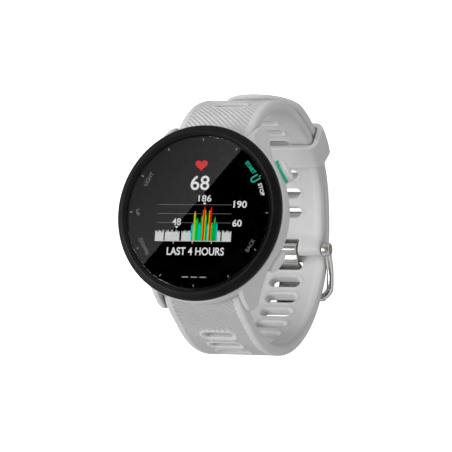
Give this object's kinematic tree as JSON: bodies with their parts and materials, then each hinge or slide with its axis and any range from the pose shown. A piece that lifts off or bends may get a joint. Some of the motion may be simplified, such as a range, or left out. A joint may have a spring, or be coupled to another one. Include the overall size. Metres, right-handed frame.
{
  "type": "gps running watch",
  "caption": "Round running watch with a black bezel, side buttons, a grooved light grey silicone strap buckled into a wrist loop, a keeper and a steel buckle.",
  "frame": {"origin": "centre of the flat optical sensor window on the back of the case, where it rests on the wrist", "axes": "+Z out of the dial, +Y to 12 o'clock, +X to 3 o'clock; the strap loop hangs along -Z"},
  "size_m": [0.0429, 0.0644, 0.0635],
  "materials": {
    "case_polymer": "light grey fibre-filled polymer, fine satin",
    "bezel_black": "black satin",
    "glass": "polished cover glass, black behind",
    "window_black": "polished black",
    "accent_green": "satin green",
    "silicone": "soft matt silicone, finely grooved outside",
    "steel": "polished stainless steel",
    "gold_plate": "gold plated",
    "board_green": "solder mask",
    "cell_foil": "wrapped foil",
    "black_plastic": "moulded, matt",
    "black_rubber": "matt"
  },
  "bodies": {
    "watch": {"back_switch": "black_plastic", "battery": "cell_foil", "bezel": "bezel_black", "buckle_strap": "silicone", "buzzer_disc": "gold_plate", "case": "case_polymer", "charge_contact_1": "gold_plate", "charge_contact_2": "gold_plate", "charge_contact_3": "gold_plate", "charge_contact_4": "gold_plate", "charge_port": "black_plastic", "cover_gasket": "black_rubber", "display_frame": "black_plastic", "display_module": "black_plastic", "down_switch": "black_plastic", "gnss_antenna": "gold_plate", "lens": "glass", "light_switch": "black_plastic", "lower_spring_bar": "steel", "main_board": "board_green", "rear_cover": "case_polymer", "rear_screw_1": "steel", "rear_screw_2": "steel", "rear_screw_3": "steel", "rear_screw_4": "steel", "sensor_board": "board_green", "sensor_window": "window_black", "shield_can": "steel", "start_collar": "accent_green", "start_switch": "black_plastic", "tail_strap": "silicone", "up_switch": "black_plastic", "upper_spring_bar": "steel", "vibration_motor": "steel"},
    "start_push": {"start_button": "case_polymer", "start_seal": "black_rubber", "start_clip": "steel"},
    "back_push": {"back_button": "case_polymer", "back_seal": "black_rubber", "back_clip": "steel"},
    "light_push": {"light_button": "case_polymer", "light_seal": "black_rubber", "light_clip": "steel"},
    "up_push": {"up_button": "case_polymer", "up_seal": "black_rubber", "up_clip": "steel"},
    "down_push": {"down_button": "case_polymer", "down_seal": "black_rubber", "down_clip": "steel"},
    "upper_release": {"upper_release_pin": "steel"},
    "lower_release": {"lower_release_pin": "steel"},
    "strap_keeper": {"keeper": "silicone"},
    "buckle": {"buckle_frame": "steel", "buckle_pin": "steel"},
    "tongue": {"buckle_tongue": "steel"},
    "motor_rotor": {"motor_weight": "steel"}
  },
  "joints": [
    {"name": "start_press", "type": "slide", "parent": "watch", "child": "start_push", "axis": [-0.866, -0.5, 0], "range_m": [0, 0.0005], "stiffness_N_per_m": 2000},
    {"name": "back_press", "type": "slide", "parent": "watch", "child": "back_push", "axis": [-0.8616, 0.5075, 0], "range_m": [0, 0.0005], "stiffness_N_per_m": 2000},
    {"name": "light_press", "type": "slide", "parent": "watch", "child": "light_push", "axis": [0.866, -0.5, 0], "range_m": [0, 0.0005], "stiffness_N_per_m": 2000},
    {"name": "up_press", "type": "slide", "parent": "watch", "child": "up_push", "axis": [1, 0, 0], "range_m": [0, 0.0005], "stiffness_N_per_m": 2000},
    {"name": "down_press", "type": "slide", "parent": "watch", "child": "down_push", "axis": [0.866, 0.5, 0], "range_m": [0, 0.0005], "stiffness_N_per_m": 2000},
    {"name": "upper_release_slide", "type": "slide", "parent": "watch", "child": "upper_release", "axis": [-1, 0, 0], "range_m": [0, 0.0015], "stiffness_N_per_m": 800},
    {"name": "lower_release_slide", "type": "slide", "parent": "watch", "child": "lower_release", "axis": [-1, 0, 0], "range_m": [0, 0.0015], "stiffness_N_per_m": 800},
    {"name": "keeper_slide", "type": "hinge", "parent": "watch", "child": "strap_keeper", "pos_m": [0, 0.00456, -0.02202], "axis": [1, 0, 0], "range_deg": [-25, 7.5]},
    {"name": "buckle_hinge", "type": "hinge", "parent": "watch", "child": "buckle", "pos_m": [0, -0.00027, -0.04677], "axis": [1, 0, 0], "range_deg": [0, 5]},
    {"name": "tongue_hinge", "type": "hinge", "parent": "buckle", "child": "tongue", "pos_m": [0, -0.00027, -0.04677], "axis": [1, 0, 0], "range_deg": [0, 4]},
    {"name": "motor_spin", "type": "hinge", "parent": "watch", "child": "motor_rotor", "pos_m": [0.0082, -0.0108, 0.0047], "axis": [0, 1, 0], "continuous": true}
  ]
}
